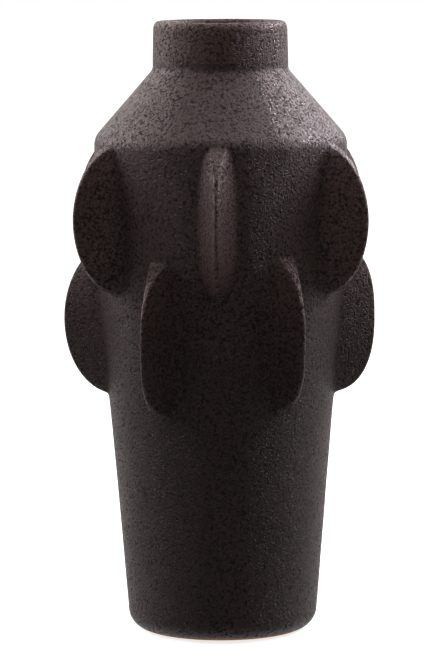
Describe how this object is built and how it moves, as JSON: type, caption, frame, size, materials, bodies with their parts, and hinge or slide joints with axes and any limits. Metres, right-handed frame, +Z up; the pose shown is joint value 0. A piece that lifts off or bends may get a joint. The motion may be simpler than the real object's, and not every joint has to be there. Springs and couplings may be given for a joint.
{
  "type": "vase with radial fins",
  "caption": "Tall stoneware vase with a short collar, conical shoulder, tapering wall and two staggered rows of half-disc fins.",
  "frame": {"origin": "centre of the foot ring's standing plane, on the vase's axis", "axes": "+Z up the vase's axis to the lip; the first upper fin points along -Y"},
  "size_m": [0.2044, 0.218, 0.4],
  "materials": {
    "dark_glaze": "semi-matt speckled brown-black glaze with a fine grain",
    "raw_clay": "unglazed buff stoneware"
  },
  "bodies": {
    "root": {"base_slab": "raw_clay", "body_wall": "dark_glaze", "shoulder": "dark_glaze", "neck": "dark_glaze", "upper_fin_1": "dark_glaze", "upper_fin_2": "dark_glaze", "upper_fin_3": "dark_glaze", "upper_fin_4": "dark_glaze", "upper_fin_5": "dark_glaze", "upper_fin_6": "dark_glaze", "lower_fin_1": "dark_glaze", "lower_fin_2": "dark_glaze", "lower_fin_3": "dark_glaze", "lower_fin_4": "dark_glaze", "lower_fin_5": "dark_glaze", "lower_fin_6": "dark_glaze"}
  },
  "joints": []
}
